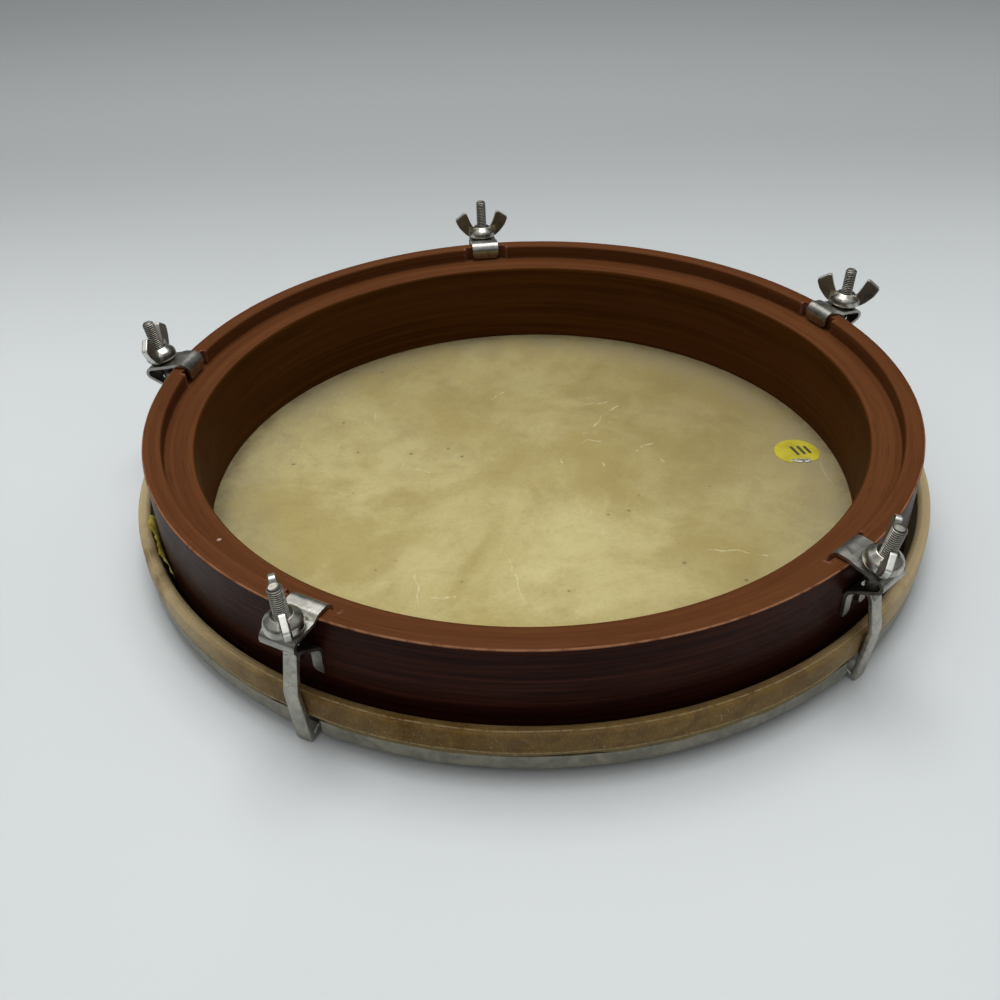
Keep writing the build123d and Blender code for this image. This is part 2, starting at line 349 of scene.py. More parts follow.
def skin_mesh():
    """Playing face, collar and the lap over the flesh hoop, as one thin skin."""
    half = SKIN_T / 2
    collar = SHELL_R + 0.55
    outer = LAP_OUTER_R - half
    top = LAP_TOP_Z - half
    path = [
        (0.8, FACE_Z + half),
        (collar, FACE_Z + half),
        (collar, 7.5),
        (152.75, 17.0),
        (153.0, top - 0.35),
        (outer, top),
        (outer + 0.05, 12.4),
        (outer - 0.15, 10.3),
    ]
    line = divided(rounded(path, [3.35, 6.0, 4.0, 0.9, 0.9, 1.2]), 3.0)
    # Closer steps up the lapped band, where the hide's creases are
    first = int(np.argmax(line[:, 0] > collar + 0.05))
    line = np.vstack([line[:first], divided(line[first:], 0.5)])
    side = normals_of(line)
    profile = np.vstack([line + side * half, (line - side * half)[::-1]])
    angles = np.radians(np.arange(0, 360, 0.4))
    radius, height = swept_round(profile, angles)
    distance = np.abs(np.radians(from_clamp(angles))) * LAP_R

    # The lower lip is a torn, curling edge that the claws push up
    outside = radius > outer - 1.35
    low = np.where(outside, 1 - step_up(height, 10.2, 14.5), 0)
    lift = 1.6 * (1 - step_up(distance, 5.0, 16.0)) + 0.16 * wobble(angles, 11, 7, 60)
    lift += 0.45 * bump_at(wobble(angles, 12, 3, 17), 1.6, 0.9)
    lift -= 0.55 * bump_at(wobble(angles, 16, 3, 13), 1.7, 0.7)
    height += low * np.clip(lift + 0.2, -0.35, 3)[:, None]
    curl = wobble(angles, 13, 6, 70)[:, None]
    radius += low**2 * np.clip(0.19 * curl, -0.35, 0.2)

    # The top fold is drawn unevenly over the hoop, and the band is puckered by small gathers
    fold = np.where(radius > 153.5, step_up(height, 16.0, 19.0), 0)
    height += fold * 0.09 * wobble(angles, 14, 4, 34)[:, None]
    face = np.where(outside, bump_at(height, 15.5, 4.5), 0)
    radius += face * 0.05 * wobble(angles, 15, 12, 120)[:, None]

    # The stretched face is a little uneven
    x, y = radius * np.cos(angles)[:, None], radius * np.sin(angles)[:, None]
    sheet = (1 - step_up(radius, 118, 131)) * (height < 4)
    waves = np.sin(x / 31 + 1.0) * np.cos(y / 37 + 0.4) + 0.6 * np.sin(x / 13 + y / 17)
    height += 0.05 * sheet * waves
    grid = np.transpose(to_points(radius, height, angles), (1, 0, 2))
    return new_mesh("skin", *lattice(grid))


# ---------------- the counter hoop


def pocket_line(middle, reach):
    """The hoop's centreline at a pocket, as seen from above at azimuth 0."""
    floor = POCKET_R - HOOP_HALF_T
    half_width = POCKET_HALF + HOOP_HALF_T
    mouth = middle * math.cos(0.95 * half_width / middle)
    points = [
        (middle * math.cos(reach), -middle * math.sin(reach)),
        (mouth, -half_width),
        (floor, -half_width),
        (floor, half_width),
        (mouth, half_width),
        (middle * math.cos(reach), middle * math.sin(reach)),
    ]
    line = divided(rounded(points, [1.3, 1.6, 1.6, 1.3], arc_step=12.0), 1.0)
    # The runs beside the pocket follow the hoop's own circle
    beside = np.abs(line[:, 1]) > half_width + 1.1
    size = np.hypot(line[:, 0], line[:, 1])
    line[beside] *= (middle / size[beside])[:, None]
    return line


def counter_hoop_mesh():
    """A band on edge that steps inwards behind each claw, and flares a little beside it."""
    middle, reach = HOOP_OUTER_R - HOOP_HALF_T, math.radians(8.0)
    pocket = pocket_line(middle, reach)
    path = []
    for azimuth, following in zip(CLAMP_AZIMUTHS, np.roll(CLAMP_AZIMUTHS, -1)):
        spin = math.radians(azimuth)
        cos, sin = math.cos(spin), math.sin(spin)
        path.append(pocket @ np.array([[cos, sin], [-sin, cos]]))
        apart = math.radians((following - azimuth) % 360) - 2 * reach
        between = spin + reach + apart * np.arange(1, 60) / 60
        path.append(np.stack([np.cos(between), np.sin(between)], axis=1) * middle)
    path = np.vstack(path)
    side = -normals_of(path, closed=True)
    angles = np.arctan2(path[:, 1], path[:, 0])
    distance = np.abs(np.radians(from_clamp(angles))) * middle

    flare = bump_at(distance, 10.0, 7.0)
    low = HOOP_LOW_Z - 0.3 * flare + 0.03 * wobble(angles, 21, 3, 12)
    high = HOOP_HIGH_Z - 0.25 * (1 - step_up(distance, 3.0, 6.0))
    half, corner_radii = HOOP_HALF_T, [0.3] * 4
    rows = []
    for k in range(len(path)):
        corners = [(-half, low[k]), (half, low[k]), (half, high[k]), (-half, high[k])]
        ring = rounded(corners, corner_radii, closed=True, arc_step=30.0)
        ring = divided(ring, 1.3, closed=True)
        # Every ring has as many points as the first
        ring = ring[: len(rows[0])] if rows else ring
        away = ring[:, 0] + 0.3 * flare[k] * (1 - step_up(ring[:, 1], low[k], low[k] + 3.5))
        flat = path[k] + side[k] * away[:, None]
        rows.append(np.column_stack([flat, ring[:, 1]]))
    return new_mesh("counter_hoop", *lattice(rows, closed=True))


# ---------------- the claws


def along_rod(seat_r, lean, distance):
    lean = math.radians(lean)
    return np.array([seat_r + distance * math.sin(lean), SEAT_Z + distance * math.cos(lean)])


def thread_depth(along, angle):
    """M5 coarse thread, 0 at its crests and 1 in its grooves, whose phase turns with the angle."""
    phase = (along / THREAD_PITCH - angle / (2 * math.pi)) % 1.0
    return np.clip(np.abs(phase - 0.5) * 2.8 - 0.2, 0, 1)


def claw_mesh(number, seat_r, lean, rise):
    """One lattice down the claw: threaded rod, then the same bar flattened, bent and hooked."""
    bends = [along_rod(seat_r, lean, STRAP_START)] + STRAP_BENDS
    outer = rounded(moved_aside(bends, STRAP_HALF_T), [2.0, 6.0, 0.6], arc_step=9.0)
    inner = rounded(moved_aside(bends, -STRAP_HALF_T), [1.5, 4.0, 0.2], arc_step=9.0)
    outer, inner = divided_together(outer, inner, 0.5)
    rod_step = 0.08
    down = np.linspace(rise, STRAP_START, int((rise - STRAP_START) / rod_step))[:-1]
    rod = np.array([along_rod(seat_r, lean, distance) for distance in down])
    tilt = math.radians(lean)
    outwards = np.array([math.cos(tilt), -math.sin(tilt)]) * STRAP_HALF_T
    outer, inner = np.vstack([rod + outwards, outer]), np.vstack([rod - outwards, inner])
    line, side = (outer + inner) / 2, (outer - inner) / 2 / STRAP_HALF_T
    run = np.concatenate([[0], np.cumsum(np.linalg.norm(np.diff(line, axis=0), axis=1))])
    along = rise - run
    spin = np.linspace(0, 2 * math.pi, 40, endpoint=False)
    cos, sin = np.cos(spin), np.sin(spin)

    # The rod's thread, which fades out where the bar is flattened
    threaded = step_up(along, -6.5, -4.5)[:, None]
    depth = thread_depth(along[:, None], spin[None, :]) * threaded
    radius = ROD_R - 0.15 * (1 - threaded) - THREAD_DEPTH * depth
    chamfer = np.clip((0.8 - run) * 0.9, 0, None)[:, None]
    radius = np.minimum(radius, ROD_R - chamfer)

    # The strap has clipped corners and widens on its way down
    flat = (1 - step_up(along, -10.5, -6.0))[:, None]
    widened = 0.7 * step_up(SEAT_Z - line[:, 1], 6.0, SEAT_Z)
    half_width = (STRAP_HALF_W + widened)[:, None]
    square = (np.abs(cos) ** 6 + np.abs(sin) ** 6) ** (-1 / 6)
    across = radius * cos * (1 - flat) + STRAP_HALF_T * cos * square * flat
    wide = radius * sin * (1 - flat) + half_width * sin * square * flat
    blunt = (np.clip((run[-1] - run) / 0.3, 0, 1) * 0.15 + 0.85)[:, None]
    x = line[:, :1] + side[:, :1] * across * blunt
    z = line[:, 1:] + side[:, 1:] * across * blunt
    grid = np.stack([x, wide * blunt, z], axis=2)

    # Hammer marks on the flattened part
    for i in np.nonzero(flat[:, 0] > 0.3)[0]:
        for j in range(len(spin)):
            spot = Vector(grid[i, j]) * 0.5 + Vector((number * 7.3, 0, 0))
            dent = noise.noise(spot) * 0.6 + noise.noise(spot * 2.7) * 0.4
            grid[i, j, 0] += 0.06 * dent * flat[i, 0] * side[i, 0]
            grid[i, j, 1] += 0.07 * dent * flat[i, 0]
    grid[:, :, 2] = np.maximum(grid[:, :, 2], 0.0)
    vertices, faces = lattice(grid)
    return new_mesh(f"claw_{number}", vertices, faces, groove=depth.ravel())


# ---------------- the wing nuts


def modified(mesh, *modifiers):
    """The mesh after some modifiers, each a (kind, settings) pair."""
    holder = added("work", mesh)
    for kind, settings in modifiers:
        modifier = holder.modifiers.new(kind, kind)
        for key, value in settings.items():
            setattr(modifier, key, value)
    graph = bpy.context.evaluated_depsgraph_get()
    made = bpy.data.meshes.new_from_object(holder.evaluated_get(graph))
    bpy.data.objects.remove(holder)
    return made


def wing_parts(side):
    """One petal-shaped wing, standing in the XZ plane."""
    outer_edge = [(2.2, 1.0), (6.2, 0.9), (9.0, 3.1), (11.9, 6.5), (13.6, 10.4)]
    inner_edge = [(7.9, 14.2), (5.8, 8.8), (3.8, 4.8)]
    radii = [0.6, 2.0, 4.0, 6.0, 1.3, 1.1, 5.0, 0.6]
    outline = rounded(outer_edge + inner_edge, radii, closed=True, arc_step=10.0)
    middle = outline.mean(axis=0)
    # Each layer of its thickness is (y, scale), so its faces have chamfered edges
    layers = [(-1.35, 0.93), (-1.0, 1.0), (1.0, 1.0), (1.35, 0.93)]
    rows = []
    for y, scale in layers:
        ring = middle + (outline - middle) * scale
        rows.append(np.column_stack([side * ring[:, 0], np.full(len(ring), y), ring[:, 1]]))
    return lattice(rows)


def turned_solid(profile, steps=128):
    angles = np.linspace(0, 2 * math.pi, steps, endpoint=False)
    radius, height = swept_round(np.array(profile, float), angles)
    grid = np.transpose(to_points(radius, height, angles), (1, 0, 2))
    return lattice(grid)


def wing_nut_mesh():
    """Dome and wings run together as in a forging, then bored and countersunk."""
    dome = [(0.5, 0.02), (4.9, 0.02), (6.45, 1.6), (6.2, 4.1), (3.6, 6.35), (0.5, 6.35)]
    dome = rounded(dome, [0.3, 1.2, 2.6, 0.7], arc_step=5.0)
    vertices, faces = [], []
    for more_vertices, more_faces in (turned_solid(dome), wing_parts(1), wing_parts(-1)):
        start = len(vertices)
        vertices += more_vertices
        faces += [tuple(i + start for i in face) for face in more_faces]
    forged = modified(
        new_mesh("blank", vertices, faces),
        ("REMESH", {"mode": "VOXEL", "voxel_size": 0.15, "use_smooth_shade": True}),
        ("SMOOTH", {"factor": 0.5, "iterations": 6}),
    )
    bore = ROD_R + 0.05
    drill = [(0.5, -2), (bore, -2), (bore, 4.9), (3.5, 6.1), (3.9, 8), (0.5, 8)]
    tool = added("tool", new_mesh("bore", *turned_solid(drill, 48)))
    bored = {"operation": "DIFFERENCE", "solver": "EXACT", "object": tool}
    nut = modified(forged, ("BOOLEAN", bored))
    bpy.data.objects.remove(tool)
    nut.materials.clear()
    finish_mesh(nut)
    mark_wings(nut)
    return nut


def mark_wings(nut):
    """Stores at each point how far it is on a wing's flat side, and how far on a wing's edge,
    where the material paints shade and a highlight.
    """
    places = np.empty(3 * len(nut.vertices))
    nut.vertices.foreach_get("co", places)
    x, y, z = places.reshape(-1, 3).T
    on_wing = np.maximum(step_up(np.abs(x), 6.3, 7.3), step_up(z, 6.5, 7.2))
    flat = step_up(np.abs(y), 0.85, 1.10)
    mark_points(nut, "wing_side_shade", on_wing * flat)
    mark_points(nut, "wing_edge_highlight", on_wing * (1 - flat))


# ---------------- sticker and tape


def sticker_mesh():
    """A paper dot with a bite torn out of its near edge and the torn paper curling up."""
    radius, thick = 9.6, 0.12
    angles = np.linspace(0, 2 * math.pi, 240, endpoint=False)
    turn = np.degrees((angles + math.pi) % (2 * math.pi) - math.pi)
    ragged = 0.16 * np.sin(angles * 41) + 0.1 * np.sin(angles * 67 + 1)
    ragged += 0.12 * np.sin(angles * 23 + 2)
    bite = 2.9 * bump_at(turn, -94.0, 30.0) + 1.7 * bump_at(turn, -66.0, 22.0)
    edge = radius - bite * (1 + 0.5 * ragged)
    inside = np.array([0.05, 0.3, 0.55, 0.75, 0.88, 0.96])
    top_lift = 0.55 * bump_at(turn, -84.0, 26.0)
    top = [(share, thick) for share in [*inside, 1.0]]
    bottom = [(share, 0.01) for share in [1.0, *inside[::-1]]]
    rings = []
    for share, level in top + bottom:
        lift = top_lift * step_up(np.array(share), 0.86, 1.0)
        x, y = edge * share * np.cos(angles), edge * share * np.sin(angles)
        rings.append(np.stack([x, y, level + lift], axis=1))
    return new_mesh("sticker", *lattice(rings))


def curl_mesh():
    """The torn strip of the dot's paper, rolled back on itself with its white side out."""
    steps = 64
    share = np.linspace(0, 1, steps)
    turn = np.radians(-122 + 68 * share)
    reach = 7.15 - 0.9 * np.sin(share * math.pi) + 0.25 * np.sin(share * 29) + 0.8 * share
    width = (0.35 + 0.85 * np.sin(share * math.pi) ** 0.6) * (1 + 0.3 * np.sin(share * 17 + 1))
    rows = []
    for k in range(steps):
        outward = np.array([math.cos(turn[k]), math.sin(turn[k]), 0.0])
        arc = np.linspace(-0.5, 2.1, 9)
        roll = width[k] * 0.55
        upper = []
        for a in arc:
            rise = np.array([0, 0, 0.2 + roll * (1 - math.cos(a))])
            upper.append(outward * (reach[k] + width[k] - roll * math.sin(a)) + rise)
        lower = [p - outward * 0.05 + np.array([0, 0, 0.07]) for p in upper[::-1]]
        rows.append(upper + lower)
    return new_mesh("sticker_curl", *lattice(rows))


def edge_tape_mesh():
    """A crumpled ribbon of tape that stands between the shell and the lapped hide."""
    share = np.linspace(0, 1, 110)
    angle = np.radians(-164.0 + 13.5 * share)
    low = 14.2 + 0.5 * np.sin(share * 9)
    high = 22.8 - 1.9 * share - 0.5 * np.abs(np.sin(share * 9.5))
    high -= 2.5 * step_up(share, 0.88, 1.0)
    high -= 2.5 * (1 - step_up(share, 0.0, 0.07))
    open_out = 1.6 + 1.5 * bump_at(share, 0.22, 0.24) + 0.5 * bump_at(share, 0.7, 0.16)
    open_out -= 0.9 * step_up(share, 0.75, 1.0)
    levels = np.linspace(0, 1, 16)
    rows = []
    for k in range(len(share)):
        crumple = 0.22 * np.sin(share[k] * 47 + 5 * levels) * levels
        crumple += 0.12 * np.sin(share[k] * 111 + 2) * levels
        out = 0.35 + open_out[k] * levels**2.2 + crumple
        height = low[k] + (high[k] - low[k]) * np.sin(levels * 1.45) / math.sin(1.45)
        sheet = np.stack([SHELL_R + out, height], axis=1)
        ring = np.vstack([sheet, (sheet - (0.12, 0.05))[::-1]])
        outward = np.array([math.cos(angle[k]), math.sin(angle[k])])
        rows.append(np.column_stack([ring[:, :1] * outward, ring[:, 1]]))
    return new_mesh("edge_tape", *lattice(rows))


# ---------------- materials


class Paint:
    """A node material being built. Each call adds nodes and returns the last one's main output."""

    def __init__(self, name, kind="materials", place="Object"):
        self.owner = getattr(bpy.data, kind).new(name)
        self.owner.use_nodes = True
        self.tree = self.owner.node_tree
        self.tree.nodes.clear()
        self.place = self.add("TexCoord", output=place)
        self.x, self.y, self.z = self.add("SeparateXYZ", {0: self.place}).node.outputs

    def add(self, kind, inputs=(), output=0, **settings):
        made = self.tree.nodes.new("ShaderNode" + kind)
        for key, value in settings.items():
            setattr(made, key, value)
        for key, value in dict(inputs).items():
            if isinstance(value, bpy.types.NodeSocket):
                self.tree.links.new(value, made.inputs[key])
            else:
                made.inputs[key].default_value = value
        return made.outputs[output]

    def math(self, operation, a, b=0.0, clamp=False):
        return self.add("Math", {0: a, 1: b}, operation=operation, use_clamp=clamp)

    def vectors(self, operation, a, b, output="Vector"):
        return self.add("VectorMath", {0: a, 1: b}, output=output, operation=operation)

    def between(self, value, low, high, out_low=0.0, out_high=1.0):
        """value mapped smoothly from low..high to out_low..out_high, and held there."""
        inputs = {0: value, 1: low, 2: high, 3: out_low, 4: out_high}
        return self.add("MapRange", inputs, interpolation_type="SMOOTHSTEP")

    def stretched(self, x, y, z, of=None):
        return self.vectors("MULTIPLY", of or self.place, (x, y, z))

    def vector(self, x, y, z):
        return self.add("CombineXYZ", {0: x, 1: y, 2: z})

    def noise(self, scale, detail, roughness, distortion=0.0, of=None):
        inputs = {"Vector": of or self.place, "Scale": scale, "Detail": detail}
        inputs |= {"Roughness": roughness, "Distortion": distortion}
        return self.add("TexNoise", inputs)

    def cells(self, scale):
        """The distance to the nearest of many scattered points."""
        inputs = {"Vector": self.place, "Scale": scale}
        return self.add("TexVoronoi", inputs, output="Distance", feature="F1")

    def mark(self, name):
        """A value that the mesh stores at each of its points, 0 on a mesh without it."""
        return self.add("Attribute", output="Fac", attribute_name=name)

    def product(self, *values):
        total = values[0]
        for value in values[1:]:
            total = self.math("MULTIPLY", total, value)
        return total

    def mix(self, share, a, b):
        """Colour a where share is 0 and b where it is 1. A plain one is (red, green, blue)."""
        a, b = (c if isinstance(c, bpy.types.NodeSocket) else (*c, 1.0) for c in (a, b))
        return self.add("Mix", {"Factor": share, 6: a, 7: b}, output=2, data_type="RGBA")

    def blend(self, value, low, high, dark, light):
        """Dark where value is low and light where it is high."""
        return self.mix(self.between(value, low, high), dark, light)

    def over(self, colour, paint, *shares):
        """A colour with a paint laid over it, as thick as the product of the shares."""
        return self.mix(self.product(*shares), colour, paint)

    def bump(self, height, strength, distance, under=None):
        inputs = {"Height": height, "Strength": strength, "Distance": distance}
        if under is not None:
            inputs["Normal"] = under
        return self.add("Bump", inputs)

    @cached_property
    def radius(self):
        """The distance from the drum's axis."""
        across = self.math("MULTIPLY", self.x, self.x)
        along = self.math("MULTIPLY", self.y, self.y)
        return self.math("SQRT", self.math("ADD", across, along))

    def ring(self, low, high):
        """0 at the radius low and 1 at the radius high, in millimetres."""
        return self.between(self.radius, low * MM, high * MM)

    def level(self, low, high, out_low=0.0, out_high=1.0):
        """out_low at the height low and out_high at the height high, both in millimetres."""
        return self.between(self.z, low * MM, high * MM, out_low, out_high)

    def line_at(self, value, middle):
        """1 where value is middle millimetres, fading to 0 at half a millimetre from it."""
        gap = self.math("ABSOLUTE", self.math("SUBTRACT", value, middle * MM))
        return self.between(gap, 0.5 * MM, 0.1 * MM)

    def stroke(self, start, end, width, place=None):
        """1 on a line between two (x, y) points in millimetres, fading to 0 at width from it."""
        a = Vector((start[0], start[1], 0)) * MM
        run = (Vector((end[0], end[1], 0)) * MM) - a
        off = self.vectors("SUBTRACT", self.stretched(1.0, 1.0, 0.0, of=place), a)
        dot = self.vectors("DOT_PRODUCT", off, run, output="Value")
        share = self.math("DIVIDE", dot, run.length_squared, clamp=True)
        near = self.add("VectorMath", {0: run, "Scale": share}, operation="SCALE")
        gap = self.vectors("DISTANCE", off, near, output="Value")
        return self.between(gap, width * MM, width * MM * 0.35)

    def strokes(self, lines, place=None):
        """1 on any of some strokes, each a (start, end, width)."""
        total = None
        for start, end, width in lines:
            stroke = self.stroke(start, end, width, place)
            total = stroke if total is None else self.math("MAXIMUM", total, stroke)
        return total

    def shaken(self, scale, reach):
        """The place pushed about by noise, so that what is drawn on it runs crooked."""
        inputs = {"Vector": self.place, "Scale": scale, "Detail": 2.0}
        shake = self.add("TexNoise", inputs, output="Color")
        shake = self.vectors("SUBTRACT", shake, (0.5, 0.5, 0.5))
        inputs = {0: shake, 1: (reach, reach, reach), 2: self.place}
        return self.add("VectorMath", inputs, operation="MULTIPLY_ADD")

    def grain(self, round_the_drum, across, detail=5.0, distortion=0.0):
        """Noise drawn out round the drum, for bent wood, whose fine lines run the same way."""
        level = self.math("MULTIPLY", self.math("ADD", self.z, self.radius), across)
        along_x = self.math("MULTIPLY", self.x, round_the_drum)
        along_y = self.math("MULTIPLY", self.y, round_the_drum)
        drawn_out = self.vector(along_x, along_y, level)
        return self.noise(1.0, detail, 0.6, distortion, of=drawn_out)

    def surface(self, kind, shader):
        out = self.tree.nodes.new("ShaderNodeOutput" + kind)
        self.tree.links.new(shader, out.inputs["Surface"])

    def finish(self, colour, rough, relief=None, **more):
        """The finished material. more names other Principled inputs, with _ for a space."""
        inputs = {key.replace("_", " "): value for key, value in more.items()}
        inputs |= {"Base Color": colour, "Roughness": rough}
        if relief is not None:
            inputs["Normal"] = relief
        self.surface("Material", self.add("BsdfPrincipled", inputs))
        return self.owner


def notch_corners():
    """Short strokes over the lip's inner edge, at both sides of every notch."""
    lines = []
    for azimuth in CLAMP_AZIMUTHS:
        turn = spun_to(azimuth)
        for side in (-1, 1):
            start = turn @ Vector((LIP_INNER_R - 0.4, side * NOTCH_HALF, 0))
            end = turn @ Vector((LIP_INNER_R + 1.4, side * NOTCH_HALF, 0))
            lines.append((start, end, 1.5))
    return lines


def shell_material():
    """Red-brown stain: varnished and dark outside, worn and matt on the rim, ledge and inside,
    with painted shade on the inside wall and low on the outer wall.
    """
    p = Paint("stained_wood")
    grain = p.grain(9.0, 420.0, 5.0, 0.6)
    broad = p.grain(4.0, 70.0, 3.0)
    fine = p.grain(30.0, 1700.0, 3.0)
    pores = p.between(p.grain(55.0, 1500.0, 2.0), 0.58, 0.70)
    smudge = p.noise(38.0, 5.0, 0.6)
    below_rim = p.level(SHELL_TOP_Z - 0.2, SHELL_TOP_Z - 0.7)
    outside = p.product(p.ring(SHELL_R - 0.6, SHELL_R - 0.25), below_rim)
    inside = p.ring(SHELL_INNER_R + 0.9, SHELL_INNER_R + 0.3)

    rim = p.blend(grain, 0.3, 0.7, (0.092, 0.0295, 0.0085), (0.121, 0.0415, 0.0130))
    rim = p.over(rim, (0.078, 0.025, 0.009), p.between(smudge, 0.45, 0.8), 0.3)
    rim = p.over(rim, (0.05, 0.015, 0.006), pores, 0.35)
    wall = p.blend(grain, 0.34, 0.66, (0.0175, 0.0036, 0.0018), (0.047, 0.0115, 0.0056))
    wall = p.over(wall, (0.006, 0.002, 0.002), p.between(fine, 0.42, 0.70), 0.7)
    # Painted shade low on the outer wall, where it meets the lapped hide
    wall = p.over(wall, (0.022, 0.0045, 0.0022), p.level(30.0, 14.0, 0.0, 0.55))
    # The inside wall is the rim's stain painted darker, as painted shade
    shaded_lining = p.blend(grain, 0.3, 0.7, (0.048, 0.0145, 0.0016), (0.080, 0.0265, 0.0032))
    shaded_lining = p.over(shaded_lining, (0.085, 0.026, 0.008), p.between(broad, 0.4, 0.7), 0.5)
    colour = p.mix(outside, p.mix(inside, rim, shaded_lining), wall)

    # Stain is rubbed off along the rim's outer corner and broken beside the brackets
    corner = p.ring(SHELL_R - 0.7, SHELL_R - 0.3)
    corner = p.product(corner, p.level(SHELL_TOP_Z - 0.7, SHELL_TOP_Z - 0.3))
    rubbed = p.between(p.noise(190.0, 4.0, 0.6), 0.28, 0.56)
    colour = p.over(colour, (0.40, 0.19, 0.10), corner, rubbed, 0.7)
    chipped = p.product(p.strokes(notch_corners()), p.level(LEDGE_Z - 0.1, LEDGE_Z + 1.4))
    broken = p.between(p.noise(420.0, 3.0, 0.6), 0.36, 0.6)
    colour = p.over(colour, (0.26, 0.115, 0.085), chipped, broken, 0.6)
    # One pale speck on the ledge
    speck = p.stroke((-108.0, -84.9), (-108.2, -85.2), 0.9)
    colour = p.over(colour, (0.5, 0.34, 0.28), speck, p.level(36.0, 38.0), 0.8)

    rough = p.math("ADD", p.between(smudge, 0.3, 0.7, 0.50, 0.64), p.product(outside, -0.22))
    rough = p.math("ADD", rough, p.between(grain, 0.3, 0.7, 0.0, 0.06))
    shine = p.between(outside, 0.0, 1.0, 0.10, 0.13)
    lumps = p.bump(p.noise(95.0, 2.0, 0.5), 0.2, 0.0004)
    lines = p.math("ADD", grain, p.product(fine, 0.6))
    lines = p.math("SUBTRACT", lines, p.product(pores, 0.5))
    relief = p.bump(lines, 0.35, 0.00022, lumps)
    return p.finish(colour, rough, relief, Specular_IOR_Level=shine, IOR=1.3)


# Scratches on the stretched hide, each a (start, end, width) in millimetres
SCRATCHES = (
    ((28.0, 59.9), (33.0, 60.1), 0.28),
    ((35.0, 59.4), (39.2, 59.9), 0.3),
    ((37.6, 49.9), (43.4, 57.2), 0.42),
    ((31.6, 39.0), (34.6, 47.4), 0.4),
    ((34.6, 47.4), (37.6, 49.9), 0.22),
    ((26.1, 27.7), (32.2, 27.3), 0.45),
    ((26.1, 27.7), (24.8, 25.2), 0.3),
    ((25.8, 34.3), (31.1, 34.0), 0.36),
    ((48.3, 18.4), (51.0, 22.0), 0.5),
    ((51.0, 22.0), (55.1, 23.5), 0.35),
    ((13.8, 14.1), (14.8, 10.2), 0.45),
    ((31.0, 10.0), (31.4, 7.0), 0.45),
    ((57.7, 11.6), (57.9, 8.8), 0.5),
    ((65.6, -51.9), (78.0, -53.2), 0.5),
    ((78.0, -53.2), (88.0, -56.9), 0.4),
    ((-15.7, 65.9), (-8.8, 73.0), 0.4),
    ((-55.9, 14.6), (-49.0, 9.5), 0.35),
    ((-49.0, 9.5), (-42.6, 6.9), 0.35),
    ((-39.7, -74.4), (-30.5, -75.4), 0.6),
    ((-45.8, -61.6), (-44.0, -78.1), 0.3),
    ((-13.5, -46.9), (-8.0, -62.0), 0.3),
    ((-8.0, -62.0), (-5.4, -80.0), 0.3),
)


def face_colour(p, patches, fine):
    """The stretched hide: pale, smudged and scratched, with painted shade towards the back and the
    right.
    """
    clouds = p.noise(15.0, 5.0, 0.6, 0.6)
    mottle = p.noise(150.0, 5.0, 0.7, 0.3)
    base = p.blend(clouds, 0.38, 0.62, (0.425, 0.342, 0.120), (0.565, 0.485, 0.218))
    base = p.over(base, (0.320, 0.238, 0.074), p.between(patches, 0.46, 0.68), 0.30)
    base = p.over(base, (0.320, 0.240, 0.086), p.between(mottle, 0.47, 0.70), 0.20)
    cleaned = p.between(p.noise(30.0, 5.0, 0.65, 0.5), 0.50, 0.72)
    base = p.over(base, (0.640, 0.570, 0.300), cleaned, 0.26)
    base = p.over(base, (0.27, 0.20, 0.08), p.between(fine, 0.45, 0.75), 0.16)
    # Painted shade: darker towards the back and the right, a little uneven with the patches
    shade_to_back = p.between(p.y, -0.08, 0.10, 0.0, 0.60)
    shade_to_right = p.between(p.x, 0.00, 0.12, 0.0, 0.50)
    uneven = p.between(patches, 0.3, 0.7, 0.8, 1.0)
    base = p.over(base, (0.215, 0.160, 0.056), p.math("ADD", shade_to_back, shade_to_right), uneven)
    # Greyer and darker towards the shell, and darker still close to its wall
    greying = p.between(patches, 0.3, 0.65, 0.25, 0.75)
    base = p.over(base, (0.300, 0.255, 0.150), p.ring(100.0, 131.0), greying)
    darkening_by_wall = p.between(mottle, 0.4, 0.6, 0.2, 0.6)
    base = p.over(base, (0.16, 0.115, 0.055), p.ring(124.0, 132.0), darkening_by_wall)
    specks = p.product(p.between(p.cells(90.0), 0.10, 0.03), p.between(patches, 0.48, 0.56))
    base = p.over(base, (0.11, 0.075, 0.03), specks, 0.7)

    scratches = p.strokes(SCRATCHES, p.shaken(140.0, 0.0045))
    worn_off = p.between(p.noise(330.0, 2.0, 0.5), 0.34, 0.60)
    scratches = p.product(scratches, worn_off, 0.55)
    hairs = p.between(p.noise(1.0, 1.0, 0.3, 2.6, of=p.stretched(430.0, 80.0, 1.0)), 0.735, 0.76)
    hairs = p.product(hairs, p.between(clouds, 0.5, 0.62), 0.25)
    return p.over(base, (0.72, 0.66, 0.42), p.math("MAXIMUM", scratches, hairs))


